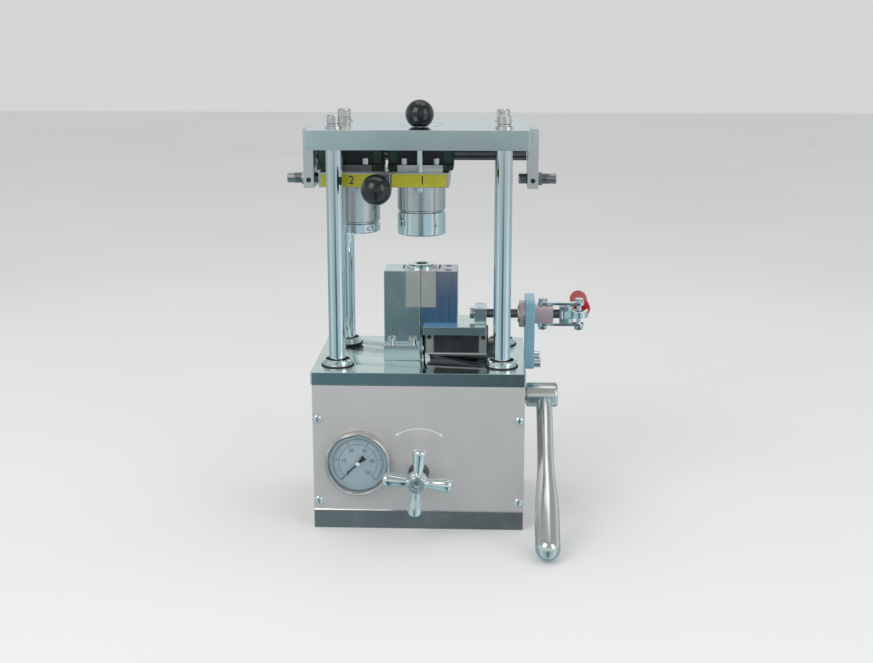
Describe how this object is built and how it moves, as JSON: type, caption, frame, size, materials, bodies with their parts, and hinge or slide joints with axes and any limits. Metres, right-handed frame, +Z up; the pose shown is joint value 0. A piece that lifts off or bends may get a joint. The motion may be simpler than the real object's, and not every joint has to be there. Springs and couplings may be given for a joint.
{
  "type": "hydraulic bench press",
  "caption": "Manual hydraulic bench press: four-column frame, two sliding pressing heads, split clamping die with toggle clamp, gauge, relief valve and pump lever.",
  "frame": {"origin": "centre of the cabinet's underside, on the surface the press stands on", "axes": "+Z up along the columns, +X towards the pump lever and the toggle clamp, -Y the front with the gauge and the handwheel"},
  "size_m": [0.2943, 0.2372, 0.4027],
  "materials": {
    "polished_steel": "polished bright plating",
    "ground_steel": "ground",
    "satin_stainless": "satin",
    "dark_steel": "dark oiled steel",
    "black_carriage": "black",
    "black_phenolic": "gloss",
    "red_grip": "dipped vinyl",
    "dial_face": "pale blue print",
    "gauge_glass": "clear",
    "cast_steel": "as cast",
    "label_yellow": "printed film",
    "green_cap": "moulded"
  },
  "bodies": {
    "press_frame": {"base_cabinet": "satin_stainless", "front_panel": "satin_stainless", "bottom_plate": "satin_stainless", "base_plate": "polished_steel", "top_plate": "polished_steel", "column_front_left": "polished_steel", "column_front_right": "polished_steel", "column_back_left": "polished_steel", "column_back_right": "polished_steel", "column_collar_front_left": "polished_steel", "column_collar_front_right": "polished_steel", "column_collar_back_left": "polished_steel", "column_collar_back_right": "polished_steel", "column_bolt_front_left": "polished_steel", "column_bolt_front_right": "polished_steel", "column_bolt_back_left": "polished_steel", "column_bolt_back_right": "polished_steel", "upper_rail": "dark_steel", "left_stop_bracket": "ground_steel", "right_stop_bracket": "ground_steel", "left_stop_bolt": "dark_steel", "right_stop_bolt": "dark_steel", "fixed_die_block": "polished_steel", "fixed_die_insert": "ground_steel", "lower_rail": "dark_steel", "clamp_bracket": "polished_steel", "clamp_body": "satin_stainless", "clamp_nut": "satin_stainless", "gauge_case": "polished_steel", "gauge_dial": "dial_face", "gauge_lens": "gauge_glass", "hydraulic_cylinder": "cast_steel", "pump_block": "cast_steel"},
    "tool_slide": {"primary_carriage": "black_carriage", "secondary_carriage": "black_carriage", "primary_head_plate": "ground_steel", "secondary_head_plate": "ground_steel", "primary_head": "ground_steel", "primary_head_ring": "polished_steel", "secondary_head": "ground_steel", "secondary_head_ring": "polished_steel", "pull_knob": "black_phenolic"},
    "index_pin": {"index_pin": "polished_steel", "index_knob": "black_phenolic"},
    "die_slide": {"lower_carriage": "black_carriage", "slide_plate": "polished_steel", "moving_die_block": "polished_steel", "moving_die_insert": "ground_steel", "push_block": "polished_steel", "plunger_rod": "dark_steel"},
    "toggle_links": {"toggle_links": "ground_steel"},
    "clamp_handle": {"clamp_handle": "ground_steel", "handle_grip": "red_grip"},
    "ram": {"ram": "polished_steel"},
    "relief_valve": {"valve_stem": "polished_steel", "handwheel": "polished_steel"},
    "gauge_needle": {"gauge_needle": "black_carriage"},
    "pump_lever": {"lever_shaft": "ground_steel", "pump_lever": "polished_steel"},
    "pump_plunger": {"pump_plunger": "ground_steel"}
  },
  "joints": [
    {"name": "tool_slide_travel", "type": "slide", "parent": "press_frame", "child": "tool_slide", "axis": [1, 0, 0], "range_m": [0, 0.065]},
    {"name": "index_pin_lift", "type": "slide", "parent": "press_frame", "child": "index_pin", "axis": [0, 0, 1], "range_m": [0, 0.022]},
    {"name": "die_slide_travel", "type": "slide", "parent": "press_frame", "child": "die_slide", "axis": [1, 0, 0], "range_m": [0, 0.00828]},
    {"name": "toggle_link_swing", "type": "hinge", "parent": "press_frame", "child": "toggle_links", "pos_m": [0.118, 0, 0.1955], "axis": [0, 0, -1], "range_deg": [0, 18.3]},
    {"name": "clamp_handle_swing", "type": "hinge", "parent": "die_slide", "child": "clamp_handle", "pos_m": [0.142, 0, 0.1955], "axis": [0, 0, -1], "range_deg": [0, 85.1]},
    {"name": "ram_lift", "type": "slide", "parent": "press_frame", "child": "ram", "axis": [0, 0, 1], "range_m": [0, 0.045]},
    {"name": "relief_valve_turn", "type": "hinge", "parent": "press_frame", "child": "relief_valve", "pos_m": [0.0005, -0.103, 0.057], "axis": [0, -1, 0], "range_deg": [0, 360]},
    {"name": "gauge_needle_turn", "type": "hinge", "parent": "press_frame", "child": "gauge_needle", "pos_m": [-0.0568, -0.08, 0.0665], "axis": [0, 1, 0], "range_deg": [0, 270], "stiffness_Nm_per_rad": 0.0005},
    {"name": "pump_lever_swing", "type": "hinge", "parent": "press_frame", "child": "pump_lever", "pos_m": [0.1202, -0.01, 0.1166], "axis": [-1, 0, 0], "range_deg": [0, 60]},
    {"name": "pump_plunger_stroke", "type": "slide", "parent": "press_frame", "child": "pump_plunger", "axis": [0, 0, 1], "range_m": [0, 0.0241]}
  ],
  "couplings": [
    {"joint": "toggle_link_swing", "follows": "die_slide_travel", "rad_per_m": 38.46},
    {"joint": "clamp_handle_swing", "follows": "die_slide_travel", "rad_per_m": 179.16},
    {"joint": "pump_plunger_stroke", "follows": "pump_lever_swing", "m_per_rad": 0.02292}
  ]
}
